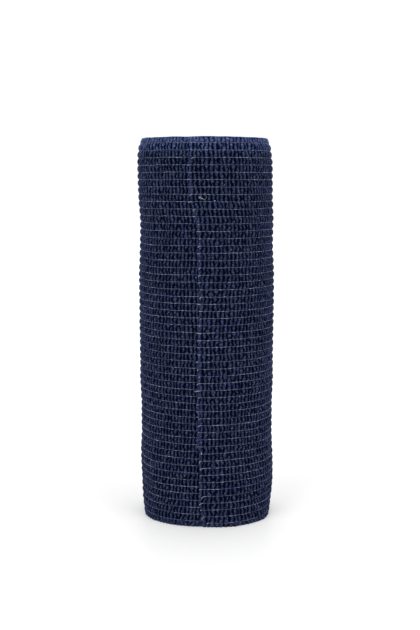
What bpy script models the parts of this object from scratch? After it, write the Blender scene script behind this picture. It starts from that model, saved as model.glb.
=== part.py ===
"""A cohesive bandage roll standing on its end: one solid of the wound cloth.

Units are metres and degrees, with +Z up along the roll. The front is -Y, where
the cloth's cut end shows as a low step that runs down the roll. The origin is
the middle of the base, on the surface that the roll stands on.
"""
import math
from collections import namedtuple

import bmesh
import bpy

# Driving dimensions
CLOTH_WIDTH = 0.150          # the bandage's width, and so the roll's height
LAYER_THICKNESS = 0.00105    # crimped cloth as it lies in the roll, and the height of the step
RIM_RADIUS = 0.0008          # how softly the side turns into the two ends
AXIS_BACK = 0.00025          # centres the wound form, which is thickest at its front

# How finely the round form is divided
COLUMNS = 96
RIM_STEPS = 3

# Colour of the navy cloth (linear RGB) and its dull, fibrous surface
NAVY = (0.012, 0.018, 0.048, 1.0)
CLOTH_ROUGHNESS = 0.9
SHARP_ANGLE = 40

NAME = "cohesive_bandage_roll"

# The roll's uneven form, a row for each height from the base to the top.
#   height     share of the cloth's width
#   radius     mean radius of the wound cloth there
#   shift      how far the turns have slid towards +X
#   end_angle  where the cut end lies, in degrees from the front towards +X
Section = namedtuple("Section", "height radius shift end_angle")
SECTIONS = [
    Section(0.000, 0.02610, -0.00015, -1.0),
    Section(0.027, 0.02640, -0.00010, -3.8),
    Section(0.053, 0.02660, 0.00010, -4.9),
    Section(0.093, 0.02675, 0.00030, -5.3),
    Section(0.133, 0.02680, 0.00010, -5.6),
    Section(0.180, 0.02665, -0.00005, -5.2),
    Section(0.213, 0.02640, 0.00000, -7.3),
    Section(0.293, 0.02640, 0.00000, -7.4),
    Section(0.360, 0.02685, -0.00005, -7.7),
    Section(0.433, 0.02685, -0.00005, -7.2),
    Section(0.473, 0.02690, -0.00005, -4.2),
    Section(0.567, 0.02695, -0.00005, -5.4),
    Section(0.647, 0.02700, -0.00005, -6.0),
    Section(0.707, 0.02660, -0.00005, -5.3),
    Section(0.747, 0.02650, 0.00000, -6.4),
    Section(0.780, 0.02650, 0.00020, -8.8),
    Section(0.833, 0.02670, -0.00040, -11.2),
    Section(0.880, 0.02675, -0.00050, -12.1),
    Section(0.927, 0.02690, -0.00065, -12.2),
    Section(0.963, 0.02670, -0.00083, -12.2),
    Section(0.985, 0.02620, -0.00083, -12.3),
    Section(1.000, 0.02575, -0.00083, -12.3),
]


def clear_scene():
    """Remove whatever the open file holds."""
    for thing in list(bpy.data.objects):
        bpy.data.objects.remove(thing, do_unlink=True)


def navy_cloth():
    """A plain dark blue fabric material."""
    material = bpy.data.materials.new("navy_cohesive_cloth")
    material.use_nodes = True
    shader = material.node_tree.nodes["Principled BSDF"]
    shader.inputs["Base Color"].default_value = NAVY
    shader.inputs["Roughness"].default_value = CLOTH_ROUGHNESS
    shader.inputs["Metallic"].default_value = 0.0
    return material


def rim(section, at_top):
    """Rows of one end, drawn in along a quarter circle from the side to the face."""
    rows = []
    for step in range(RIM_STEPS + 1):
        turn = math.radians(90 * step / RIM_STEPS)
        inset = RIM_RADIUS * (1 - math.cos(turn))
        from_face = RIM_RADIUS * (1 - math.sin(turn)) / CLOTH_WIDTH
        height = section.height - from_face if at_top else section.height + from_face
        rows.append(section._replace(height=height, radius=section.radius - inset))
    return rows if at_top else rows[::-1]


def outline(section):
    """One turn of the cloth: a spiral that sinks by one layer on its way round."""
    points = []
    for column in range(COLUMNS + 1):
        turn = column / COLUMNS
        angle = math.radians(section.end_angle) + math.tau * turn
        radius = section.radius + LAYER_THICKNESS * (0.5 - turn)
        x = section.shift + radius * math.sin(angle)
        y = AXIS_BACK - radius * math.cos(angle)
        points.append((x, y, section.height * CLOTH_WIDTH))
    return points


def wound_cloth():
    """Loft the outlines into one closed body with flat ends."""
    rows = rim(SECTIONS[0], at_top=False) + SECTIONS[1:-1] + rim(SECTIONS[-1], at_top=True)
    mesh_maker = bmesh.new()
    rings = [[mesh_maker.verts.new(point) for point in outline(row)] for row in rows]
    for lower, upper in zip(rings, rings[1:]):
        for start in range(len(lower)):
            end = (start + 1) % len(lower)
            mesh_maker.faces.new((lower[start], lower[end], upper[end], upper[start]))
    mesh_maker.faces.new(rings[0][::-1])
    mesh_maker.faces.new(rings[-1])
    mesh = bpy.data.meshes.new("bandage_roll")
    mesh_maker.to_mesh(mesh)
    mesh_maker.free()
    mesh.shade_smooth()
    mesh.set_sharp_from_angle(angle=math.radians(SHARP_ANGLE))
    return mesh


def main():
    clear_scene()
    collection = bpy.data.collections.new(NAME)
    bpy.context.scene.collection.children.link(collection)
    roll = bpy.data.objects.new("bandage_roll", wound_cloth())
    roll.data.materials.append(navy_cloth())
    collection.objects.link(roll)


main()
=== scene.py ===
# %% [markdown]
# # A cohesive bandage roll
#
# A cohesive bandage is a soft nonwoven cloth with elastic threads laid along it. The threads pull the
# cloth together, so it puckers into small crimps that run across the tape. Here it is wound into a roll
# 15 cm tall that stands on its end. This lesson builds the roll's looks on the plain solid of the wound
# form: the outer turn with its crimps, the inner turns that show at the two ends, the pale threads, and
# the fluff. Each is a surface worked out with numpy: a crimped cloth is a formula repeated thousands of
# times, and arrays do that in seconds.

import bpy
import numpy as np
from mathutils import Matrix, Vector


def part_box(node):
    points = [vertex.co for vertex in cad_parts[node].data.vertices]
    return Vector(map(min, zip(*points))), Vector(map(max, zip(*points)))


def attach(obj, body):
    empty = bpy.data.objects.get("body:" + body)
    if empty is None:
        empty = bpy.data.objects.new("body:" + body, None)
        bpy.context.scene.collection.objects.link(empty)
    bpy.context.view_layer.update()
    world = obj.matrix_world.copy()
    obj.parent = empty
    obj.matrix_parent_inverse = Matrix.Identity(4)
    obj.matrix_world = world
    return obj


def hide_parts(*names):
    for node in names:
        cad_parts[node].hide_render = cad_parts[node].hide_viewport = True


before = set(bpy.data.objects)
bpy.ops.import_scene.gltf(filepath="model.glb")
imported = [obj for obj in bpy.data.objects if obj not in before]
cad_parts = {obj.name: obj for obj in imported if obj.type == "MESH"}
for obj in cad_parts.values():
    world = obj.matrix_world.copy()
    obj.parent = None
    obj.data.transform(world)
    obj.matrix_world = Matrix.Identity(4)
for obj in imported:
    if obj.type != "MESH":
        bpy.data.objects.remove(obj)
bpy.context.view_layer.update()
roll_low, roll_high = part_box("bandage_roll")
MM = 0.001
ROLL_HEIGHT = roll_high.z - roll_low.z
print("the wound form is", [round(side / MM, 1) for side in roll_high - roll_low], "mm")

# %% [markdown]
# ## The camera
#
# The camera comes first, because it says how fine the cloth has to be. The evenly spaced threads give
# its place: they curve up above eye level and down below it. It stands 13 cm above the floor and looks
# down a little, through a long lens that keeps the roll's sides nearly parallel.

# %% Place the camera
CAMERA_PLACE = (1.6 * MM, -465.3 * MM, 133.7 * MM)
CAMERA_TILT = 6.63  # degrees below the horizon
CAMERA_LENS = 66.5  # for Blender's 36 mm sensor


def add_object(name, data):
    """A new object in the scene, made of this data."""
    thing = bpy.data.objects.new(name, data)
    bpy.context.scene.collection.objects.link(thing)
    return thing


camera = add_object("camera", bpy.data.cameras.new("camera"))
camera.data.lens = CAMERA_LENS
camera.location = CAMERA_PLACE
camera.rotation_euler = (np.radians(90.0 - CAMERA_TILT), 0.0, 0.0)
bpy.context.scene.camera = camera
print("the camera is", round(-CAMERA_PLACE[1] / MM), "mm in front, tilted down", CAMERA_TILT, "degrees")

# %% [markdown]
# ## The roll's uneven form
#
# A hand-wound roll is never a true cylinder. Its turns slide a little over each other, its waist is
# squeezed, and the two ends draw in. The table holds that form by height. It follows the one that the
# plain solid is lofted from, and rounds the top off a little more. A smooth curve through the rows keeps
# kinks out. A second table holds how the last few millimetres above the floor are pressed out of round,
# fullest to the front and right and drawn in at the sides.

# %% Describe the roll's form by height
LAYER = 1.05 * MM  # thickness of one crimped layer in the roll
AXIS_BACK = 0.25 * MM
MEAN_RADIUS = 26.9 * MM  # turns a distance round the roll into an angle
# height (share of the roll), mean radius, slide towards +X (both mm)
FORM = np.array([
    (0.0, 26.7, -0.15), (0.027, 26.6, -0.1), (0.053, 26.65, 0.1), (0.093, 26.75, 0.3),
    (0.133, 26.8, 0.1), (0.18, 26.65, -0.05), (0.213, 26.4, 0.0), (0.293, 26.4, 0.0),
    (0.36, 26.85, -0.05), (0.433, 26.85, -0.05), (0.473, 26.9, -0.05), (0.567, 26.95, -0.05),
    (0.647, 27.0, -0.05), (0.707, 26.6, -0.05), (0.747, 26.5, 0.0), (0.78, 26.5, 0.2),
    (0.833, 26.7, -0.4), (0.88, 26.75, -0.5), (0.927, 26.8, -0.65), (0.955, 26.6, -0.8),
    (0.98, 26.1, -0.83), (0.99, 25.6, -0.83), (1.0, 24.7, -0.83),
])
# angle from the front towards +X (degrees), how far the base is pressed out there (mm)
BASE_SPREAD = np.array([
    (-180, 0.4), (-150, 0.6), (-115, -0.8), (-92, -2.0), (-77, -1.2), (-64, 0.1), (-50, 1.0), (-30, 1.3),
    (-8, 1.25), (2, 0.5), (12, 1.4), (24, 2.2), (40, 1.9), (54, 1.8), (65, 0.3), (76, -0.8), (90, -1.1),
    (110, -0.6), (130, 0.0), (155, 0.2),
])
BASE_REACH = 5.5 * MM  # how fast that fades upwards
RADIUS_EASE = 2.5 * MM  # over what reach the first table's radius is smoothed, and its slide
SLIDE_EASE = 8.0 * MM
SPREAD_EASE = 13  # the same for the second table, in degrees
SAMPLES = 601
sample_heights = np.linspace(0.0, ROLL_HEIGHT, SAMPLES)
sample_degrees = np.arange(360)


def softened(heights, values, reach):
    """Samples of a table by height: straight lines between its rows, each sample then averaged
    with its neighbours within reach, weighted by a raised cosine."""
    line = np.interp(sample_heights, heights, values)
    width = max(3, int(reach / ROLL_HEIGHT * SAMPLES) | 1)
    weights = np.hanning(width + 2)
    padded = np.pad(line, (len(weights) // 2, len(weights) // 2), mode="edge")
    return np.convolve(padded, weights / weights.sum(), mode="valid")


def softened_round(degrees, values, reach):
    """The same for a table by angle, one sample a degree. The table is repeated before and after
    the turn, so the average leaves no seam."""
    line = np.interp(np.arange(-360, 720), degrees, values, period=360)
    weights = np.hanning(reach)
    return np.convolve(line, weights / weights.sum(), mode="same")[360:720]


form_radius = softened(FORM[:, 0] * ROLL_HEIGHT, FORM[:, 1] * MM, RADIUS_EASE)
form_slide = softened(FORM[:, 0] * ROLL_HEIGHT, FORM[:, 2] * MM, SLIDE_EASE)
base_spread = softened_round(BASE_SPREAD[:, 0], BASE_SPREAD[:, 1] * MM, SPREAD_EASE)
print("radius from", round(form_radius.min() / MM, 2), "to", round(form_radius.max() / MM, 2), "mm")
print("base spread by", round(base_spread.min() / MM, 2), "to", round(base_spread.max() / MM, 2), "mm")

# %% [markdown]
# ## Smooth randomness
#
# Nothing in a crimped cloth repeats exactly. One helper gives smooth random numbers: a seeded table of
# random values, blended between its entries. The same seed gives the same cloth.

# %% Make smooth random numbers
TABLE_SIZE = 256


def smooth_step(x):
    """0 below 0 and 1 above 1; between them three times x squared less twice x cubed."""
    x = np.clip(x, 0.0, 1.0)
    return x * x * (3.0 - 2.0 * x)


def drift(x, y, seed):
    """Smooth random numbers from -1 to 1: one table entry for each whole x and y, and between
    entries a blend of the four nearest, weighted by smooth_step."""
    table = np.random.default_rng(seed).uniform(-1.0, 1.0, (TABLE_SIZE, TABLE_SIZE))
    column = np.floor(x).astype(int)
    row = np.floor(y).astype(int)
    right = smooth_step(x - column)
    up = smooth_step(y - row)
    column, row = column % TABLE_SIZE, row % TABLE_SIZE
    next_column, next_row = (column + 1) % TABLE_SIZE, (row + 1) % TABLE_SIZE
    low = table[column, row] * (1 - right) + table[next_column, row] * right
    high = table[column, next_row] * (1 - right) + table[next_column, next_row] * right
    return low * (1 - up) + high * up


# %% [markdown]
# ## From cloth to roll
#
# Think of the cloth flat: arc is the distance along the tape, from the middle of the roll's front, and
# height the place across it. One function wraps it round the roll. The radius falls by one layer for
# each turn, which makes the spiral, and depth presses a point inwards.

# %% Wrap the flat cloth round the roll
END_ANGLE = np.radians(-7.0)  # where the cloth's cut end lies, on average


def place(angle, radius, height):
    """A point at an angle and a radius, slid with the form. Near the base the radius grows in step
    with the spread at that angle, which fades like e to the power of minus height over reach."""
    slide = np.interp(height, sample_heights, form_slide)
    spread = np.interp(np.degrees(angle), sample_degrees, base_spread, period=360)
    radius = radius * (1.0 + spread / MEAN_RADIUS * np.exp(-height / BASE_REACH))
    x = slide + radius * np.sin(angle)
    y = AXIS_BACK - radius * np.cos(angle)
    return np.stack([x, y, height + np.zeros_like(radius)], axis=-1)


def wrap(arc, height, depth):
    """Points of the roll: the angle is arc over the mean radius; the radius is the form's radius
    there, plus half a layer, less a layer for each turn since the cut end, less depth."""
    angle = arc / MEAN_RADIUS
    turn = (angle - END_ANGLE) / (2 * np.pi)
    radius = np.interp(height, sample_heights, form_radius) + LAYER * (0.5 - turn) - depth
    return place(angle, radius, height)


# %% [markdown]
# ## Where the threads lie
#
# The 54 elastic threads divide the cloth into narrow bands. They lie 2.77 mm apart, a little closer near
# the floor, and the cloth's free edges stand out past the first and the last. On the left of the cut
# end the turn below shows, and low down its threads lie up to 0.8 mm higher, because the tape was wound
# slightly askew.

# %% Work out the thread heights
THREADS = 54
THREAD_SPACING = 2.766 * MM
LOWEST_THREAD = 0.98 * MM
CROWDED = 0.60 * MM  # how far the floor has pushed the lowest thread up, and how fast that fades
CROWDED_FADE = 0.6
WAVER = 0.10 * MM  # how far a thread strays up or down
STEADY_EDGE = 3 * MM  # over this height at each end it doesn't stray
TURN_ARC = 2 * np.pi * MEAN_RADIUS
thread_heights = LOWEST_THREAD + THREAD_SPACING * np.arange(THREADS)
thread_heights += CROWDED * np.exp(-CROWDED_FADE * np.arange(THREADS))
# how much higher a thread lies after one turn (mm), by height (mm)
ASKEW = np.array([(0, 0.0), (1, 0.45), (4, 0.60), (12, 0.80), (25, 0.72), (35, 0.62), (45, 0.40),
                  (60, 0.15), (100, 0.10), (140, 0.0), (150, 0.0)])
# where a hand has pushed the cloth up or down: arc, height, distance and reach (all mm)
PUSHED = np.array([(14.0, 66.0, 0.25, 14.0), (11.0, 30.0, 0.34, 11.0),
                   (145.0, 101.0, -0.34, 9.0), (145.0, 17.0, -0.36, 10.0)])


def pushed(arc, height):
    """How far up hands have pushed the cloth: the sum of a bell curve round each row's place."""
    total = 0.0 * arc
    for middle, level, distance, reach in PUSHED * MM:
        total = total + distance * np.exp(-((arc - middle) ** 2 + (height - level) ** 2) / reach ** 2)
    return total


def ride_up(arc, height):
    """How far the cloth at this height has climbed: the askew table's value, eased in between 40 and
    70 % of the turn, the pushes, and a slow waver. Near the two edges only the askew table counts."""
    climbed = np.interp(height, ASKEW[:, 0] * MM, ASKEW[:, 1] * MM)
    eased = smooth_step((arc / TURN_ARC - 0.40) / 0.30)
    inner = smooth_step(height / STEADY_EDGE) * smooth_step((ROLL_HEIGHT - height) / STEADY_EDGE)
    waver = WAVER * drift(arc / (14 * MM), height / (9 * MM) + 40.0, 11)
    return climbed * eased + (waver + pushed(arc, height)) * inner


print("threads from", round(thread_heights[0] / MM, 2), "to", round(thread_heights[-1] / MM, 2), "mm")

# %% [markdown]
# ## The cut end
#
# The tape's cut end is a ragged line down the front, a little left of the middle, where the scissors
# crossed the crimps, stuck to the turn below. The elastic threads spring back from it, so nothing
# gathers the cloth there, and a narrow smooth band is left.

# %% Draw the line of the cut end
# height and distance from the middle of the front (mm), where the scissors cut
CUT = np.array([
    (0.0, -1.0), (1.0, -1.05), (3.0, -1.4), (5.5, -1.9), (8.2, -2.3), (10.9, -2.7), (14.5, -2.8),
    (20.1, -2.5), (25.2, -2.6), (28.8, -2.4), (31.1, -3.4), (38.9, -3.2), (42.1, -2.9), (47.9, -3.4),
    (53.0, -3.1), (67.0, -3.0), (75.6, -2.7), (80.0, -2.4), (92.0, -2.3), (95.0, -2.8),
    (100.4, -2.7), (111.5, -2.6), (116.9, -3.8), (122.8, -4.8), (125.6, -5.4), (130.1, -5.7),
    (137.6, -5.7), (142.0, -5.4), (145.0, -5.3), (150.0, -5.5),
])
CUT_EASE = 1.2 * MM  # how far its corners are rounded
FRAY = 0.10 * MM  # how far the cut strays to each side, and over what height
FRAY_HEIGHT = 0.7 * MM
cut_line = softened(CUT[:, 0] * MM, CUT[:, 1] * MM, CUT_EASE)
print("the cut end lies from", round(cut_line.min() / MM, 1), "to", round(cut_line.max() / MM, 1), "mm")


def height_of(band):
    """Height of a place counted in bands: band 1 starts at the first thread, band 2 at the next."""
    edges = np.concatenate([[0.0], thread_heights, [ROLL_HEIGHT]])
    return np.interp(band, np.arange(THREADS + 2), edges)


def cut_at(height):
    """Distance of the cut end from the middle of the front: the drawn line plus a fine fray."""
    fray = FRAY * drift(height / FRAY_HEIGHT, 0 * height, 31)
    return np.interp(height, sample_heights, cut_line) + fray


# %% [markdown]
# ## The crimps
#
# Between two threads each crimp bulges out like a small pillow; under a thread it is pinched flat. So
# the cloth is a field of small cells: a ridge, a valley, a ridge, in band above band. Each valley is a
# lens, wide in the middle of its band and closed at the threads. No two are alike: each draws its depth,
# width and lean from a table of random numbers, by its place in the field.

# %% Number the cells and let the ridges wander
CRIMP = 1.64 * MM  # from ridge to ridge
PINCH = 0.68 * MM  # how far a thread draws the cloth in
VALLEY_AT_THREAD = 0.12 * MM
VALLEY_AT_BULGE = 0.85 * MM
SWELL = 0.20 * MM  # how far the pillows stand outside the plain form
SMOOTH_END = 0.4 * MM  # width of the smooth band along the cut
SMOOTH_FADE = 0.9 * MM  # over what distance the crimps come in after it
SMOOTH_SHARE = 0.25  # how much of the crimping is left in it


def cell_number(cell, band, seed):
    """One random number from -1/2 to 1/2 for each whole cell and band."""
    table = np.random.default_rng(seed).random((TABLE_SIZE, TABLE_SIZE))
    return table[cell % TABLE_SIZE, band % TABLE_SIZE] - 0.5


def stepped(band):
    """The band's number, held nearly level inside a band and changed quickly at a thread."""
    middle = band - 0.5
    whole = np.floor(middle)
    return whole + smooth_step((middle - whole - 0.32) / 0.36)


def wander(arc, band):
    """How far the ridges have strayed, in crimps: a slow lean over many bands and a quick shake
    from each band to the next."""
    lean = 0.8 * drift(arc / (19 * MM), band / 13.0, 21)
    shake = 0.24 * drift(arc / (3.6 * MM), stepped(band), 22)
    return lean + shake


def crimping(arc, band):
    """How much of the crimping there is: little in the smooth band along the cut, then all of it."""
    distance = arc - cut_at(height_of(band))
    return SMOOTH_SHARE + (1 - SMOOTH_SHARE) * smooth_step((distance - SMOOTH_END) / SMOOTH_FADE)


# %% Carve one valley
VALLEY_LEAN = 0.30  # how far a valley leans and sways, and strays from its cell's middle (in crimps)
VALLEY_SWAY = 0.42
VALLEY_STRAY = 0.16
VALLEY_FLARE = 0.8  # how much wider one of its ends may be
VALLEY_REACH = 0.48  # from its middle to its side (in crimps), and how much that varies
REACH_VARIES = 0.20
REACH_AT_THREAD = 0.40  # the share of its reach that is left at a thread
VALLEY_DEEP = 0.84  # how deep it is, as a share, and how much that varies
DEEP_VARIES = 0.44


def valley_at(phase, band, cell, bulge):
    """How deep one cell's valley is, from 0 to about 1: a smooth_step from its reach to its middle,
    which leans and sways on its way up the band. One end may be wider."""
    row = np.floor(band).astype(int) + 0 * cell
    up = band - row
    lean = VALLEY_LEAN * cell_number(cell, row, 26) * (up - 0.5)
    swing = np.sin(2 * np.pi * (up + cell_number(cell, row, 28)))
    sway = VALLEY_SWAY * cell_number(cell, row, 27) * swing
    middle = 0.5 + VALLEY_STRAY * cell_number(cell, row, 29) + lean + sway
    flare = 1.0 + VALLEY_FLARE * cell_number(cell, row, 30) * np.cos(np.pi * up)
    closing = REACH_AT_THREAD + (1 - REACH_AT_THREAD) * bulge
    reach = (VALLEY_REACH + REACH_VARIES * cell_number(cell, row, 34)) * closing * flare
    deep = VALLEY_DEEP + DEEP_VARIES * cell_number(cell, row, 35)
    return deep * smooth_step(1.0 - np.abs(phase - cell - middle) / reach)


# %% Carve them all and pinch the cloth at the threads
EDGE_VALLEYS = 0.6  # how deep the valleys are in the two free edges, as a share
ROUNDING = 0.14 * MM  # how far a ridge's sides fall away
UNEQUAL = 0.08 * MM  # how far one ridge stands below another
DENT = 0.10 * MM  # slow dents over many crimps
THREAD_SHADE = 0.40  # how dark the painted shade in the pinch at a thread is, where 1 is a valley


def crimp_depth(arc, band, bulge):
    """Depth below the outline, and how much painted shade the point's colour gets (0 on a ridge, 1 in a
    valley, some in the pinch at a thread).
    The valley is the deepest of the three nearest cells', ridges are rounded by the square of the
    distance from their top, and at a thread all of it gives way to the pinch."""
    phase = arc / CRIMP + wander(arc, band)
    cell = np.floor(phase).astype(int)
    nearest = [valley_at(phase, band, cell + side, bulge) for side in (-1, 0, 1)]
    at_edge = (band < 1) | (band >= THREADS)
    valley = np.max(nearest, axis=0) * np.where(at_edge, EDGE_VALLEYS, 1.0)
    from_ridge = 2 * np.abs(phase - np.rint(phase))
    rounding = ROUNDING * from_ridge ** 2
    unequal = UNEQUAL * (1.0 + drift(phase * 0.9, stepped(band), 24))
    at_bulge = bulge * (valley * VALLEY_AT_BULGE + rounding + unequal)
    drawn_in = 1.0 - bulge ** 1.5
    at_thread = drawn_in * (PINCH + VALLEY_AT_THREAD * np.sin(0.5 * np.pi * from_ridge) ** 2)
    amount = crimping(arc, band)
    dent = DENT * drift(arc / (19 * MM), band / 8.0, 25) - SWELL
    # painted shade: darkest deep in a valley, and some in the pinch at each thread
    painted_shade = np.maximum(valley * np.clip(0.4 + 2.0 * bulge, 0.0, 1.0), THREAD_SHADE * (1.0 - bulge))
    return amount * (at_bulge + at_thread) + dent, amount * painted_shade


# %% [markdown]
# ## Skinning a strip
#
# Each turn of cloth is a closed strip: an outer face, two rims and an inner face. Its section is a ring
# of points, repeated in column after column along the tape. Quads join the rings, and at the strip's
# two ends a row of triangles closes the ring like a zip.

# %% Write arrays into a mesh
def make_piece(name, points, quads, triangles=()):
    """A mesh object from point, quad and triangle arrays, written with foreach_set."""
    triangles = np.asarray(triangles, int).reshape(-1, 3)
    corners = np.concatenate([quads.ravel(), triangles.ravel()]).astype(np.int32)
    counts = np.repeat([4, 3], [len(quads), len(triangles)])
    mesh = bpy.data.meshes.new(name)
    mesh.vertices.add(len(points))
    mesh.vertices.foreach_set("co", np.asarray(points, np.float32).ravel())
    mesh.loops.add(len(corners))
    mesh.loops.foreach_set("vertex_index", corners)
    mesh.polygons.add(len(counts))
    mesh.polygons.foreach_set("loop_start", (np.cumsum(counts) - counts).astype(np.int32))
    mesh.update(calc_edges=True)
    mesh.shade_smooth()
    print(name, "has", len(quads) * 2 + len(triangles), "triangles")
    return add_object(name, mesh)


def quads_between(index):
    """Quads from each ring of point numbers (ring, place) to the next, closed round the ring."""
    ahead = np.roll(index, -1, axis=1)
    return np.stack([index[:-1], index[1:], ahead[1:], ahead[:-1]], axis=-1).reshape(-1, 4)


# %% Store numbers and the flat map on a piece
def add_value(piece, name, values):
    """Store one number for each point, for a material to read."""
    attribute = piece.data.attributes.new(name, "FLOAT", "POINT")
    attribute.data.foreach_set("value", np.asarray(values, np.float32).ravel())


def add_flat_map(piece, along, across):
    """A UV map of the cloth laid flat, in metres along and across the tape."""
    corner_points = np.zeros(len(piece.data.loops), np.int32)
    piece.data.loops.foreach_get("vertex_index", corner_points)
    flat = np.stack([np.ravel(along), np.ravel(across)], axis=-1)[corner_points]
    layer = piece.data.uv_layers.new(name="flat_cloth")
    layer.data.foreach_set("uv", flat.astype(np.float32).ravel())


# %% Turn rings of points into a closed strip
def zip_up(outer, inner, outer_share, inner_share):
    """Triangles between two rows of points: each outer edge joins the inner point nearest its
    middle, and each inner edge the outer point where that nearest point changes."""
    between = (inner_share[1:] + inner_share[:-1]) / 2
    nearest = np.searchsorted(between, (outer_share[1:] + outer_share[:-1]) / 2)
    outward = np.stack([outer[:-1], outer[1:], inner[nearest]], axis=-1)
    turning = np.searchsorted(nearest, np.arange(len(inner) - 1), side="right")
    inward = np.stack([inner[:-1], outer[turning], inner[1:]], axis=-1)
    return np.concatenate([outward, inward])


def strip(name, rings, outer_count):
    """A closed strip from rings (column, point, xyz). Points 0 to outer_count - 1 climb the outer
    face and the rest come down the inner face."""
    columns, around = rings.shape[:2]
    index = np.arange(columns * around).reshape(columns, around)
    ends = []
    for column, flip in ((0, False), (columns - 1, True)):
        outer = index[column, :outer_count]
        inner = index[column, outer_count:][::-1]
        outer_share = rings[column, :outer_count, 2]
        inner_share = rings[column, outer_count:, 2][::-1]
        triangles = zip_up(outer, inner, outer_share, inner_share)
        ends.append(triangles[:, ::-1] if flip else triangles)
    return make_piece(name, rings.reshape(-1, 3), quads_between(index), np.concatenate(ends))


# %% [markdown]
# ## The outer turn
#
# The outer turn is most of what is seen, so it is the finest: six columns for each crimp and eight rows
# for each band. Columns that would lie past the cut are gathered in a narrow fringe along it, so the
# crimps stay upright. The turn's last millimetres are tucked under its first ones. It is made in four
# parts, which keeps each mesh a size that every tool can take.

# %% Lay out the rows of the outer turn
COLUMNS_PER_CRIMP = 6
ROWS_PER_BAND = 8
CLOTH = 0.35 * MM  # thickness of the cloth itself
RIM = 0.12 * MM  # roundness of its edges
BASE_EDGE = 1.3 * MM  # the free edge at the base swells over this height
TOP_EDGE = 2.1 * MM  # and the one at the top over this
TOP_SWELL = 0.85  # how far the top edge swells, as a share
ROUNDNESS = 0.55  # 0.5 would make the swelling half an oval, and 1 a parabola

steps = np.arange(ROWS_PER_BAND) / ROWS_PER_BAND
row_band = np.append((np.arange(THREADS + 1)[:, None] + steps).ravel(), THREADS + 1.0)
row_height = height_of(row_band)


def bulge_of(band):
    """How far the cloth swells between threads, nearly half an oval: four times the share of the
    band behind times the share ahead, to the power of the roundness. At the free edges it swells
    from the thread and stays swollen."""
    share = band - np.floor(band)
    bulge = (4 * share * (1 - share)) ** ROUNDNESS
    below = np.clip((1.0 - band) * thread_heights[0] / BASE_EDGE, 0, 1)
    top_gap = ROLL_HEIGHT - thread_heights[-1]
    above = np.clip((band - THREADS) * top_gap / TOP_EDGE, 0, 1)
    bulge = np.where(band < 1, np.sqrt(1 - (1 - below) ** 2), bulge)
    return np.where(band >= THREADS, TOP_SWELL * np.sqrt(1 - (1 - above) ** 2), bulge)


row_bulge = bulge_of(row_band)
print("the outer turn has", len(row_height), "rows")

# %% Press the near end down and tuck the far end under it
TURN_START = -6.0 * MM
TURN_END = TURN_ARC + 2.5 * MM
PRESSED_MOST = -0.8 * MM  # left of the cut by more than this, the cloth is pressed in no further
PRESSED = 0.52 * MM  # how far the stuck-down end is pressed into the turn below
PRESSED_REACH = 2.4 * MM  # over what distance
TUCK = 0.60 * MM  # how much deeper the turn's far end lies under the near end
TUCK_START = 0.5 * MM  # how far past the cut it begins to go under
TUCK_REACH = 2.0 * MM  # over what distance


def pressed_in(distance):
    """How far the end is pressed in: it fades like e to the power of minus the distance from the
    cut over reach."""
    return PRESSED * np.exp(-np.maximum(distance, PRESSED_MOST) / PRESSED_REACH)


def tucked_under(arc, cut):
    """How deep the far end of the turn is tucked under its start: it eases in past the cut."""
    return TUCK * smooth_step((arc - TURN_ARC - cut - TUCK_START) / TUCK_REACH)


# %% Place the columns
FRINGE = 0.02 * MM  # column spacing in the fringe along the cut
FRINGE_COLUMNS = 24  # columns after which the ridges wander freely


def follow_ridges(column, columns_per_crimp, band, start):
    """Arc of each column in each band: its even place less the ridges' wander, and never past the
    start, where columns gather in the fringe."""
    arc = TURN_START + CRIMP * column / columns_per_crimp
    freely = smooth_step((column - FRINGE_COLUMNS) / FRINGE_COLUMNS)
    return np.maximum(arc - CRIMP * wander(arc, band) * freely, start + FRINGE * column)


def outer_columns(first, last):
    """Arc, depth and painted shade of the outer face, each an array of column by row."""
    column = np.arange(first, last + 1)[:, None]
    cut = cut_at(row_height)
    arc = follow_ridges(column, COLUMNS_PER_CRIMP, row_band, cut)
    depth, painted_shade = crimp_depth(arc, row_band, row_bulge)
    return arc, depth + pressed_in(arc - cut) + tucked_under(arc, cut), painted_shade


# %% Build the outer turn
INNER_FACE = 1.15 * MM  # depth of the inner face, below the deepest valley
SAG = 0.10 * MM  # how far the rims sag on average
SAG_LENGTH = 3.1 * MM  # how soon that changes along the tape
TOP_LIGHT_REACH = 9.0 * MM  # over this height below the top edge a painted top light makes the cloth paler
# rows of the inner face, as shares of the height, close enough to follow the roll's form
INNER_HEIGHTS = np.array([1.0, 0.995, 0.97, 0.93, 0.88, 0.83, 0.78, 0.74, 0.70, 0.64, 0.56,
                          0.48, 0.43, 0.36, 0.28, 0.20, 0.14, 0.09, 0.04, 0.005, 0.0])
NEAR_RIM = 0.49  # shares further than this from the middle are near a rim


def round_section(face, inner):
    """One value for each point of a ring: the face's, the two rims' and the inner face's. A rim
    takes the value of the face's nearest row."""
    return np.concatenate([face[:, :1], face, face[:, -1:], inner], axis=1)


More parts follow.
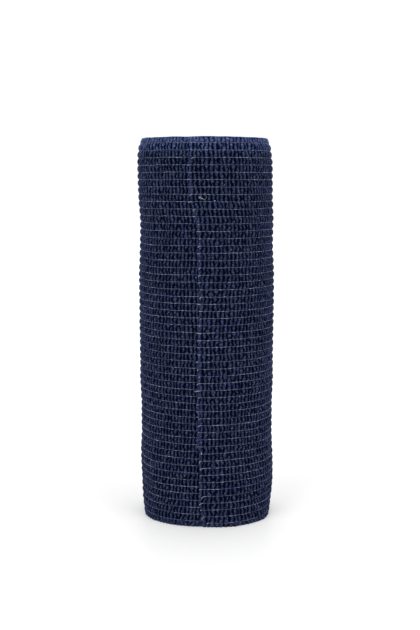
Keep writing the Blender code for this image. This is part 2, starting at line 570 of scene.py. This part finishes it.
def outer_strip(name, first, last):
    """One part of the outer turn. The outer face follows the crimps; the inner face follows them
    one cloth thickness deeper near the rims, and lies flat on the next turn elsewhere. The rims
    sag unevenly, by two tenths of a millimetre at most."""
    arc, depth, painted_shade = outer_columns(first, last)
    height = row_height + ride_up(arc, row_height)
    sag = SAG * (1.0 + drift(arc / SAG_LENGTH, 0 * arc, 32))
    height = height + sag * (np.clip(1 - row_band, 0, 1) - np.clip(row_band - THREADS, 0, 1))
    height[:, 0] += RIM
    height[:, -1] -= RIM
    face = wrap(arc, height, depth)
    pick = np.abs(row_height - (INNER_HEIGHTS * ROLL_HEIGHT)[:, None]).argmin(axis=1)
    inner_arc = arc[:, pick]
    near_rim = np.abs(INNER_HEIGHTS - 0.5) > NEAR_RIM
    inner_depth = np.where(near_rim, depth[:, pick] + CLOTH, INNER_FACE)
    inner_height = height[:, pick]
    inner = wrap(inner_arc, inner_height, inner_depth)
    top = wrap(arc[:, -1:], height[:, -1:] + RIM, depth[:, -1:] + CLOTH / 2)
    bottom = wrap(arc[:, :1], height[:, :1] - RIM, depth[:, :1] + CLOTH / 2)
    rings = np.concatenate([bottom, face, top, inner], axis=1)
    piece = strip(name, rings, face.shape[1] + 2)
    # painted shade for the colour: as on the outer face, and full shade on the inner face
    add_value(piece, "painted_shade", round_section(painted_shade, np.ones(inner_arc.shape)))
    across = round_section(height, inner_height)
    add_flat_map(piece, round_section(arc, inner_arc), across)
    # painted top light: the colour grows paler towards the top edge, as if more light falls there
    add_value(piece, "painted_top_light", smooth_step((across - ROLL_HEIGHT + TOP_LIGHT_REACH) / TOP_LIGHT_REACH))
    return piece


total_columns = int(round((TURN_END - TURN_START) / CRIMP * COLUMNS_PER_CRIMP))
PARTS = 4
part_ends = [round(total_columns * part / PARTS) for part in range(PARTS + 1)]
outer_turn = [outer_strip("outer_turn_part_" + str(part + 1), part_ends[part], part_ends[part + 1])
              for part in range(PARTS)]

# %% [markdown]
# ## The inner turns
#
# Under the outer turn the tape winds on, about 23 times, down to a small pinched eye: such a roll has no
# core. Only its edges show, at the roll's two ends, as fine wavy lines. So its section needs only twelve
# points, close together at the rims. Between them it lies a little deeper, clear of the outer turn's
# waist. The turns are crimped too, no two edges stand equally high, and towards the eye the roll is
# squeezed oval.

# %% Measure the spiral
EYE_RADIUS = 1.9 * MM
INNER_COLUMNS_PER_CRIMP = 4
SPIRAL_SAMPLES = 40000


def inner_spiral():
    """Angle, turn and travelled length at each column of the spiral, and how many turns there are:
    the radius falls by a layer each turn, and the length adds up radius times the step in angle."""
    start_angle = TURN_END / MEAN_RADIUS
    start_turn = (start_angle - END_ANGLE) / (2 * np.pi)
    mean = form_radius.mean()
    turns = (mean + LAYER * (0.5 - start_turn) - EYE_RADIUS) / LAYER
    fine_angle = np.linspace(0.0, turns * 2 * np.pi, SPIRAL_SAMPLES)
    fine_radius = EYE_RADIUS + LAYER * (turns - fine_angle / (2 * np.pi))
    fine_length = np.concatenate([[0.0], np.cumsum((fine_radius * np.gradient(fine_angle))[1:])])
    count = int(fine_length[-1] / CRIMP * INNER_COLUMNS_PER_CRIMP)
    length = np.linspace(0.0, fine_length[-1], count)
    angle = np.interp(length, fine_length, fine_angle)
    return start_angle + angle, angle / (2 * np.pi) + start_turn, length, turns


# %% Build the inner turns
INNER_CRIMP_DEPTH = 0.58 * MM
INNER_SINK = 1.4 * MM  # how much deeper the outermost inner turn lies between the rims
EDGE_LOWER = 0.38 * MM  # how much lower than the outer turn's the inner edges lie on average
EDGE_WAVE = 0.35 * MM  # how far that changes slowly, and from crimp to crimp
EDGE_SHAKE = 0.12 * MM
EYE_OVAL = 0.22  # how oval the eye is, as a share, and how far out that reaches
EYE_OVAL_REACH = 5 * MM
SECTION = [  # share of the height, depth in thicknesses of the cloth, and 1 where the turn sinks
    (0.0008, 0.15, 0), (0.004, 0.0, 0), (0.05, 0.0, 1), (0.95, 0.0, 1), (0.996, 0.0, 0), (0.9992, 0.15, 0),
    (0.9992, 0.85, 0), (0.996, 1.0, 0), (0.95, 1.0, 1), (0.05, 1.0, 1), (0.004, 1.0, 0), (0.0008, 0.85, 0),
]


def inner_turns():
    """The whole inner tape as one strip. The mean radius at each height falls in step with the
    turns, and both the form and the sinking fade towards the eye. There the radius is stretched
    across and pressed front to back."""
    angle, turn, length, turns = inner_spiral()
    share, through, sunk = np.array(SECTION).T
    height = ROLL_HEIGHT * share + np.zeros((len(angle), 1))
    phase = length / CRIMP + 1.1 * drift(length / (9 * MM), 0 * length, 41)
    arch = np.abs(np.cos(np.pi * phase))
    uneven = 0.85 + 0.3 * drift(phase, 0 * phase, 42)
    wave = INNER_CRIMP_DEPTH * (1 - arch) * uneven
    outline = np.interp(height, sample_heights, form_radius) - form_radius.mean()
    fade = np.clip(1.0 - turn / turns, 0.0, 1.0)[:, None]
    radius = form_radius.mean() + outline * fade + LAYER * (0.5 - turn[:, None])
    radius = radius - wave[:, None] - CLOTH * through - INNER_SINK * fade * sunk
    rise = EDGE_WAVE * drift(angle / 1.3, 0 * angle, 43) + EDGE_SHAKE * drift(phase * 1.7, 0 * phase, 44)
    toward_rim = np.where(share > 0.5, -1.0, 1.0) * (np.abs(share - 0.5) > 0.4)
    height = height + toward_rim * (EDGE_LOWER + rise[:, None])
    radius = radius * (1.0 - EYE_OVAL * np.exp(-radius / EYE_OVAL_REACH) * np.cos(2 * angle)[:, None])
    rings = place(angle[:, None], radius, height)
    piece = strip("inner_turns", rings, len(SECTION) // 2)
    # painted shade in the crimp valleys along the inner edges
    add_value(piece, "painted_shade", np.broadcast_to((1 - arch)[:, None] * 0.4, height.shape))
    add_flat_map(piece, np.broadcast_to(length[:, None], height.shape), height)
    print("the inner tape is", round(length[-1], 2), "m long in", round(turns, 1), "turns")
    return piece, length[-1]


inner_tape, inner_length = inner_turns()

# %% [markdown]
# ## The elastic threads
#
# Each thread is a fine tube that runs round the outer turn in the pinch between two bands. It shows on
# the ridges and all but vanishes in the valleys, partly under the cloth and partly under painted shade in
# its colour, so it reads as a row of beads. At the cut the threads have sprung back and curl over the
# smooth band as small hooks. A tube is a ring of three points carried along the path and turned to face
# along it.

# %% Carry a ring along many paths at once
def unit(vectors):
    """Each vector divided by its length."""
    return vectors / np.linalg.norm(vectors, axis=-1, keepdims=True)


def radial(points):
    """The direction straight out from the roll's axis."""
    out = points - np.array([0.0, AXIS_BACK, 0.0])
    out[..., 2] = 0.0
    return unit(out)


def tubes(name, paths, radii, bright, sides):
    """Closed tubes round paths (tube, step, xyz). At each step the tangent is the path's slope,
    one side arm is tangent cross radial, and the other completes the right angle."""
    count, length = paths.shape[:2]
    tangent = unit(np.gradient(paths, axis=1))
    arm = unit(np.cross(tangent, radial(paths)))
    lift = np.cross(arm, tangent)
    turn = 2 * np.pi * np.arange(sides) / sides
    ring = arm[:, :, None] * np.sin(turn)[:, None] + lift[:, :, None] * np.cos(turn)[:, None]
    points = paths[:, :, None] + ring * radii[:, :, None, None]
    index = np.arange(count * length * sides).reshape(count, length, sides)
    ahead = np.roll(index, -1, axis=2)
    quads = np.stack([index[:, :-1], ahead[:, :-1], ahead[:, 1:], index[:, 1:]], axis=-1)
    caps = np.concatenate([index[:, 0, ::-1], index[:, -1]])
    fans = [caps[:, [0, side, side + 1]] for side in range(1, sides - 1)]
    piece = make_piece(name, points.reshape(-1, 3), quads.reshape(-1, 4), np.concatenate(fans))
    add_value(piece, "bright", np.broadcast_to(bright, (count, length, sides)))
    return piece


# %% Say where each thread starts
TAIL_STEPS = 10

chance = np.random.default_rng(51)
tail_start = chance.uniform(0.1, 1.2, THREADS)  # where a thread starts past the cut (mm)
tail_reach = chance.uniform(0.2, 1.2, THREADS)  # how far its hook reaches back (mm)
tail_drop = chance.uniform(-0.1, 0.8, THREADS)  # how far its hook drops (mm)
# the clearest hooks: thread counted from the floor, start, reach and drop (mm)
CLEAR_TAILS = np.array([
    (0, 2.0, 0.4, 0.2), (1, 1.1, 0.95, 0.85), (2, 0.1, 0.2, 0.1), (3, 1.3, 1.4, 0.75), (4, 2.1, 1.1, 1.0),
    (5, 0.4, 0.3, 0.1), (6, 0.2, 0.3, 0.1), (7, 0.9, 0.6, 0.3), (8, 1.9, 1.55, 0.6), (9, 0.7, 0.65, 0.7),
    (10, 1.2, 0.5, -0.3), (11, 0.1, 0.2, 0.0), (12, 0.1, 0.2, 0.1), (14, 1.2, 1.1, 0.4),
    (15, 0.4, 0.3, 0.3), (19, 1.6, 2.6, 0.5), (24, 1.1, 1.2, -0.2), (35, 0.8, 0.75, 0.6),
    (40, 0.4, 0.3, 0.1), (45, 0.5, 1.3, 0.3), (49, 0.5, 0.4, 0.35), (51, 1.9, 0.9, 0.5),
    (52, 1.0, 0.5, -0.45),
])
clear = CLEAR_TAILS[:, 0].astype(int)
tail_start[clear], tail_reach[clear], tail_drop[clear] = CLEAR_TAILS[:, 1:].T
thread_cut = cut_at(thread_heights)[:, None]
thread_start = thread_cut + tail_start[:, None] * MM

# %% Lay the threads
THREAD_RADIUS = 0.145 * MM
THREAD_SIDES = 3
STEPS_PER_CRIMP = 5
PROUD = 0.06 * MM  # how far a thread stands out of the pinch, and a hook off the smooth band
HOOK_PROUD = 0.08 * MM
THREAD_SHAKE = 0.08 * MM  # how far it strays up or down from one crimp to the next
DIM = 0.04  # its tone in a valley, painted shade; what any ridge adds, and what the brightest adds to that
RIDGE_TONE = 0.24
GLINT_TONE = 0.80
HOOK_TONE = 0.75


def thread_bodies():
    """Arc, height and depth of each thread at each step, and how brightly it shows there. It is at its
    brightest on a ridge and dips like a bell curve at a valley, more at some than at others; the dip is
    partly where the cloth covers the thread and partly painted shade."""
    step = np.arange(int((TURN_END - TURN_START) / CRIMP * STEPS_PER_CRIMP))[None, :]
    band = np.arange(1, THREADS + 1)[:, None] + 0 * step
    arc = follow_ridges(step, STEPS_PER_CRIMP, band, thread_start)
    height = thread_heights[:, None] + ride_up(arc, thread_heights[:, None] + 0 * arc)
    height = height + THREAD_SHAKE * drift(arc / (1.5 * MM), band, 55)
    cloth, _ = crimp_depth(arc, band, 0 * arc)
    phase = arc / CRIMP + wander(arc, band)
    cell = np.floor(phase).astype(int)
    band = band.astype(int)
    # the dip at a valley: partly where the cloth covers the thread, partly painted shade
    hidden_and_shaded = (0.95 + 0.6 * cell_number(cell, band, 56)) * np.exp(-((phase - cell - 0.5) / 0.25) ** 2)
    glint = (0.5 + cell_number(np.rint(phase).astype(int), band, 52)) ** 1.5
    bright = DIM + (1.0 - np.clip(hidden_and_shaded, 0.0, 1.0)) * (RIDGE_TONE + GLINT_TONE * glint)
    bright = bright * (0.85 + 0.30 * drift(arc / (11 * MM), band * 1.0, 53))
    depth = cloth - PROUD + pressed_in(arc - thread_cut) + tucked_under(arc, thread_cut)
    return arc, height, depth, bright


def thread_tails(first_height, first_depth):
    """The same for the hooks. Each goes back by its reach times the sine of a quarter turn, drops
    by the square of the way along, and lies on the smooth band."""
    way = np.linspace(1.0, 1.0 / TAIL_STEPS, TAIL_STEPS)
    arc = thread_start - tail_reach[:, None] * MM * np.sin(way * np.pi / 2)
    height = first_height - tail_drop[:, None] * MM * way ** 2
    on_top = pressed_in(arc - thread_cut) - SWELL - HOOK_PROUD
    depth = first_depth + (on_top - first_depth) * smooth_step(way * 2.5)
    return arc, height, depth, np.full((THREADS, TAIL_STEPS), HOOK_TONE)


body = thread_bodies()
tails = thread_tails(body[1][:, :1], body[2][:, :1])
arc, height, depth, thread_bright = [np.concatenate(pair, axis=1) for pair in zip(tails, body)]
paths = wrap(arc, height, depth)
uneven = drift(np.arange(paths.shape[1])[None, :] / 5.0, np.arange(THREADS)[:, None] * 1.0, 54)
thread_radii = THREAD_RADIUS * (0.9 + 0.15 * uneven)
threads = tubes("elastic_threads", paths, thread_radii, thread_bright[:, :, None], THREAD_SIDES)

# %% [markdown]
# ## Fluff
#
# Nonwoven cloth sheds. Fine fibres stand off its ridges and soften its outline, and a few nubs of lint
# cling to it. A fibre is a thin tube on a bent path; a nub is a short fat one that tapers. The clearest
# nubs stand in a table, and a few more are strewn round the roll.

# %% Scatter the fibres
FIBRES = 1500
FIBRE_STEPS = 7
FIBRE_SIDES = 3
FIBRE_LENGTH = 2.2 * MM  # of the longest
FIBRE_LIFT = 0.45 * MM  # how far the highest stands off the cloth
FIBRE_ROOT = 0.30 * MM  # how deep the roots lie
FIBRE_RADIUS = 0.018 * MM

fluff = np.random.default_rng(61)


def fibre_paths():
    """Bent paths on the cloth (fibre, step, xyz): each leaves its root in a random direction along
    the surface, rises off it in a half wave and bends sideways with the square of the way along."""
    arc = fluff.uniform(0.0, TURN_ARC, FIBRES)[:, None]
    height = fluff.uniform(0.4 * MM, ROLL_HEIGHT - 0.4 * MM, FIBRES)[:, None]
    way = np.linspace(0.0, 1.0, FIBRE_STEPS)[None, :]
    length = FIBRE_LENGTH * fluff.uniform(0.3, 1.0, (FIBRES, 1))
    heading = fluff.uniform(0.0, 2 * np.pi, (FIBRES, 1))
    bend = fluff.uniform(-0.6, 0.6, (FIBRES, 1)) * length
    rise = FIBRE_LIFT * fluff.uniform(0.2, 1.0, (FIBRES, 1)) * np.sin(np.pi * way * 0.85)
    along = length * way * np.cos(heading) - bend * way ** 2 * np.sin(heading)
    across = length * way * np.sin(heading) + bend * way ** 2 * np.cos(heading)
    return wrap(arc + along, np.clip(height + across, 0.1 * MM, ROLL_HEIGHT), FIBRE_ROOT - rise)


fibre_lines = fibre_paths()
taper = np.sin(np.pi * np.linspace(0.12, 0.92, FIBRE_STEPS))[None, :]
fibre_radii = FIBRE_RADIUS * taper * fluff.uniform(0.7, 1.2, (FIBRES, 1))
fibre_bright = fluff.uniform(0.1, 0.8, (FIBRES, 1, 1))
fibres = tubes("stray_fibres", fibre_lines, fibre_radii, fibre_bright, FIBRE_SIDES)

# %% Set the nubs of lint
NUB_STEPS = 9
NUB_SIDES = 6
# arc, height and length (mm), heading (degrees), bend (share of the length), half thickness (mm)
# and brightness
CLEAR_NUBS = np.array([
    (-2.16, 126.8, 1.1, 45, 0.0, 0.20, 0.6), (-1.8, 127.1, 2.1, -21, -0.05, 0.20, 0.6),
    (0.2, 126.4, 1.4, 51, 0.3, 0.06, 0.6), (3.5, 125.8, 0.5, 10, 0.1, 0.18, 1.0),
    (7.3, 131.4, 0.7, 60, 0.2, 0.06, 1.0), (-1.6, 28.8, 0.8, 85, 0.2, 0.13, 1.0),
    (9.9, 148.9, 0.5, 20, 0.1, 0.16, 1.0),
])
STREWN = 16
STREWN_TONE = 0.8
strewn_nubs = np.stack([
    fluff.uniform(42.0, 126.0, STREWN), fluff.uniform(8.0, 145.0, STREWN), fluff.uniform(0.4, 1.4, STREWN),
    fluff.uniform(0.0, 360.0, STREWN), fluff.uniform(-0.5, 0.5, STREWN), fluff.uniform(0.14, 0.24, STREWN),
    np.full(STREWN, STREWN_TONE),
], axis=1)
nubs = np.concatenate([CLEAR_NUBS, strewn_nubs])
way = np.linspace(0.0, 1.0, NUB_STEPS)
length, bend = nubs[:, 2:3] * way, nubs[:, 2:3] * nubs[:, 4:5] * way ** 2
heading = np.radians(nubs[:, 3:4])
nub_arc = nubs[:, 0:1] + length * np.cos(heading) - bend * np.sin(heading)
nub_height = nubs[:, 1:2] + length * np.sin(heading) + bend * np.cos(heading)
nub_lines = wrap(nub_arc * MM, nub_height * MM, np.full(nub_arc.shape, -SWELL))
nub_radii = nubs[:, 5:6] * MM * (0.2 + 0.8 * np.sin(np.pi * way ** 0.5))
lint_nubs = tubes("lint_nubs", nub_lines, nub_radii, nubs[:, 6, None, None], NUB_SIDES)

# %% [markdown]
# ## Materials
#
# The cloth is navy. Painted shade darkens its valleys and the pinch at each thread, and it is paler on
# its ridges, where loose fibres lie in small tufts. Tufts and fibres are noise laid along the flat map, so
# they follow the tape round the roll. A painted sheen makes it paler where it turns away. A painted top
# light makes the uppermost millimetres paler: the outer turn stores how near each point is to the top
# edge, and that scales the colour.

# %% Start a material and its nodes
def new_material(name):
    """A material with its node tree and its Principled shader."""
    material = bpy.data.materials.new(name)
    material.use_nodes = True
    tree = material.node_tree
    return material, tree, tree.nodes["Principled BSDF"]


def join(tree, source, target):
    """Link an output to an input."""
    tree.links.new(source, target)


def set_inputs(node, **values):
    """Set a node's own numbers. A name's underscores stand for spaces."""
    for name, value in values.items():
        node.inputs[name.replace("_", " ")].default_value = value


def mix_colour(tree, share, low, high):
    """Blend two colours, or a socket and a colour, by a share from 0 to 1."""
    mix = tree.nodes.new("ShaderNodeMix")
    mix.data_type = "RGBA"
    for value, number in ((share, 0), (low, 6), (high, 7)):
        if isinstance(value, bpy.types.NodeSocket):
            join(tree, value, mix.inputs[number])
        else:
            mix.inputs[number].default_value = value
    return mix.outputs[2]


def remap(tree, value, from_low, from_high, to_low=0.0, to_high=1.0):
    """Stretch a number from one range to another, and keep it there."""
    node = tree.nodes.new("ShaderNodeMapRange")
    set_inputs(node, From_Min=from_low, From_Max=from_high, To_Min=to_low, To_Max=to_high)
    join(tree, value, node.inputs["Value"])
    return node.outputs["Result"]


def stored(tree, name):
    """A number that the piece stores on its points."""
    node = tree.nodes.new("ShaderNodeAttribute")
    node.attribute_name = name
    return node.outputs["Fac"]


# %% Lay noise along the cloth
def flat_noise(tree, coordinates, angle, grains, seed):
    """Noise on the flat cloth, turned by an angle and with so many grains a metre along and across."""
    mapping = tree.nodes.new("ShaderNodeMapping")
    set_inputs(mapping, Rotation=(0.0, 0.0, np.radians(angle)), Scale=(*grains, 1.0))
    set_inputs(mapping, Location=(seed, 0.0, 0.0))
    join(tree, coordinates, mapping.inputs["Vector"])
    noise = tree.nodes.new("ShaderNodeTexNoise")
    set_inputs(noise, Scale=1.0, Detail=3.0, Distortion=0.6)
    join(tree, mapping.outputs["Vector"], noise.inputs["Vector"])
    return noise.outputs["Fac"]


# %% The navy crepe
RIDGE_NAVY = (0.005, 0.0108, 0.04, 1.0)
TUFT_NAVY = (0.052, 0.067, 0.14, 1.0)
# painted shade, mixed in by how deep in a valley or pinch a point is
PAINTED_SHADE_NAVY = (0.0007, 0.0021, 0.01, 1.0)
FIBRE_NAVY = (0.058, 0.071, 0.13, 1.0)
# painted sheen, mixed in where the cloth turns away
PAINTED_SHEEN_NAVY = (0.062, 0.078, 0.16, 1.0)
TOP_LIGHT_GAIN = 2.5  # how much paler the painted top light makes the cloth at the top edge
TUFT_GRAINS = (1900, 1700)  # tufts a metre along and across the tape
FIBRE_GRAINS = (900, 6500)  # the same for the fibres, which lie across one another at these angles
FIBRE_ANGLES = (70, 115)
TUFT_NOISE = (0.47, 0.60)  # from where to where in the noise the tufts come in, and the fibres
FIBRE_NOISE = (0.52, 0.78)
TURNED_AWAY = (0.3, 1.0)  # the same for how far the cloth faces away, for the painted sheen, and for the painted shade in the valleys
VALLEY_DARK = (0.05, 0.50)
BUMP_HEIGHT = 0.08 * MM


def navy_crepe():
    """Tufts, fibres over them, a painted sheen where the cloth turns away, painted shade in the valleys
    and pinches, and a painted top light that makes all of it paler near the top edge."""
    material, tree, shader = new_material("navy_crepe")
    flat = tree.nodes.new("ShaderNodeUVMap")
    flat.uv_map = "flat_cloth"
    tufts = flat_noise(tree, flat.outputs["UV"], 0, TUFT_GRAINS, 5.0)
    tufts = remap(tree, tufts, *TUFT_NOISE)
    both = tree.nodes.new("ShaderNodeMath")
    both.operation = "MAXIMUM"
    for number, (angle, seed) in enumerate(zip(FIBRE_ANGLES, (3.0, 9.0))):
        join(tree, flat_noise(tree, flat.outputs["UV"], angle, FIBRE_GRAINS, seed), both.inputs[number])
    strands = remap(tree, both.outputs[0], *FIBRE_NOISE, 0.0, 0.50)
    cloth = mix_colour(tree, tufts, RIDGE_NAVY, TUFT_NAVY)
    cloth = mix_colour(tree, strands, cloth, FIBRE_NAVY)
    # painted sheen: the colour grows paler where the cloth turns away from the view
    facing = tree.nodes.new("ShaderNodeLayerWeight")
    set_inputs(facing, Blend=0.35)
    edge = remap(tree, facing.outputs["Facing"], *TURNED_AWAY, 0.0, 0.9)
    cloth = mix_colour(tree, edge, cloth, PAINTED_SHEEN_NAVY)
    # painted shade in the valleys and at the threads' pinch
    shade = remap(tree, stored(tree, "painted_shade"), *VALLEY_DARK)
    cloth = mix_colour(tree, shade, cloth, PAINTED_SHADE_NAVY)
    # painted top light: the colour scaled up near the top edge
    paler = tree.nodes.new("ShaderNodeVectorMath")
    paler.operation = "SCALE"
    join(tree, cloth, paler.inputs["Vector"])
    join(tree, remap(tree, stored(tree, "painted_top_light"), 0.0, 1.0, 1.0, TOP_LIGHT_GAIN), paler.inputs["Scale"])
    join(tree, paler.outputs["Vector"], shader.inputs["Base Color"])
    set_inputs(shader, Roughness=1.0, Specular_IOR_Level=0.02)
    bump = tree.nodes.new("ShaderNodeBump")
    set_inputs(bump, Strength=0.7, Distance=BUMP_HEIGHT)
    join(tree, both.outputs[0], bump.inputs["Height"])
    join(tree, bump.outputs["Normal"], shader.inputs["Normal"])
    return material


# %% The pale threads and the fluff
def pale(name, dark, light, roughness):
    """A pale fibre whose tone follows the brightness stored on its points."""
    material, tree, shader = new_material(name)
    join(tree, mix_colour(tree, stored(tree, "bright"), dark, light), shader.inputs["Base Color"])
    set_inputs(shader, Roughness=roughness, Specular_IOR_Level=0.2)
    return material


# %% Give each piece its material
crepe = navy_crepe()
elastic = pale("pale_elastic", (0.012, 0.016, 0.045, 1.0), (0.45, 0.48, 0.58, 1.0), 0.7)
lint = pale("fluff", (0.02, 0.03, 0.08, 1.0), (0.36, 0.35, 0.40, 1.0), 0.8)
finishes = [(part, crepe) for part in outer_turn]
finishes += [(inner_tape, crepe), (threads, elastic), (fibres, lint), (lint_nubs, lint)]
for piece, material in finishes:
    piece.data.materials.append(material)
print("materials:", [material.name for material in bpy.data.materials])

# %% [markdown]
# ## Floor and light
#
# A plain white floor and white surroundings, with two broad soft lights in front, one at each side.
# They graze the crimps and make each one read. A weak light from behind throws a short soft shadow to
# the front. The floor glows a little, so the shadows stay close to the roll.

# %% Lay the floor
def floor_disc(radius):
    """A round floor: rings of points whose radius grows evenly, round the origin."""
    rings = 6
    sectors = 64
    angle = 2 * np.pi * np.arange(sectors) / sectors
    reach = radius * np.arange(1, rings + 1) / rings
    x, y = [np.append(0.0, reach[:, None] * turned) for turned in (np.cos(angle), np.sin(angle))]
    points = np.stack([x, y, np.zeros_like(x)], axis=-1)
    index = 1 + np.arange(rings * sectors).reshape(rings, sectors)
    middle = np.stack([np.zeros(sectors, int), index[0], np.roll(index[0], -1)], axis=-1)
    return make_piece("floor", points, quads_between(index), middle)


FLOOR_RADIUS = 3.0
FLOOR_GLOW = 0.13
PURE_WHITE = (1.0, 1.0, 1.0, 1.0)

floor = floor_disc(FLOOR_RADIUS)
floor_white, _, floor_shader = new_material("white_floor")
set_inputs(floor_shader, Base_Color=(0.95, 0.95, 0.95, 1.0), Roughness=0.40, Specular_IOR_Level=0.10)
set_inputs(floor_shader, Emission_Color=PURE_WHITE, Emission_Strength=FLOOR_GLOW)
floor.data.materials.append(floor_white)

# %% Light the scene
ROOM_LIGHT = 0.62
WALL_WHITE = 1.02  # what the camera sees behind the roll and mirrored in the floor

world = bpy.data.worlds.new("white_room")
bpy.context.scene.world = world
world.use_nodes = True
world_nodes = world.node_tree.nodes
rays = world_nodes.new("ShaderNodeLightPath")
strength = remap(world.node_tree, rays.outputs["Is Diffuse Ray"], 0.0, 1.0, WALL_WHITE, ROOM_LIGHT)
set_inputs(world_nodes["Background"], Color=PURE_WHITE)
join(world.node_tree, strength, world_nodes["Background"].inputs["Strength"])


def soft_sun(name, stand, softness, power):
    """A far, broad light from its stand towards the roll; softness is its width in degrees."""
    data = bpy.data.lights.new(name, "SUN")
    data.angle = np.radians(softness)
    data.energy = power
    lamp = add_object(name, data)
    lamp.location = stand
    lamp.rotation_euler = Vector(stand).to_track_quat("Z", "Y").to_euler()


soft_sun("left_softbox", (-0.7, -0.8, 0.5), 45, 1.15)
soft_sun("right_softbox", (0.8, -0.6, 0.5), 45, 0.9)
soft_sun("back_softbox", (0.0, 0.45, 1.0), 50, 0.7)
bpy.context.scene.view_settings.view_transform = "Standard"
print("lights:", [light.name for light in bpy.data.lights])

# %% [markdown]
# ## Tie every piece to the roll
#
# Last, every piece is tied to the roll's one body, and the plain solid of the wound form is hidden. The
# tape is 15 cm wide.

for piece in outer_turn + [inner_tape, threads, fibres, lint_nubs]:
    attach(piece, "root")
    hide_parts("bandage_roll")
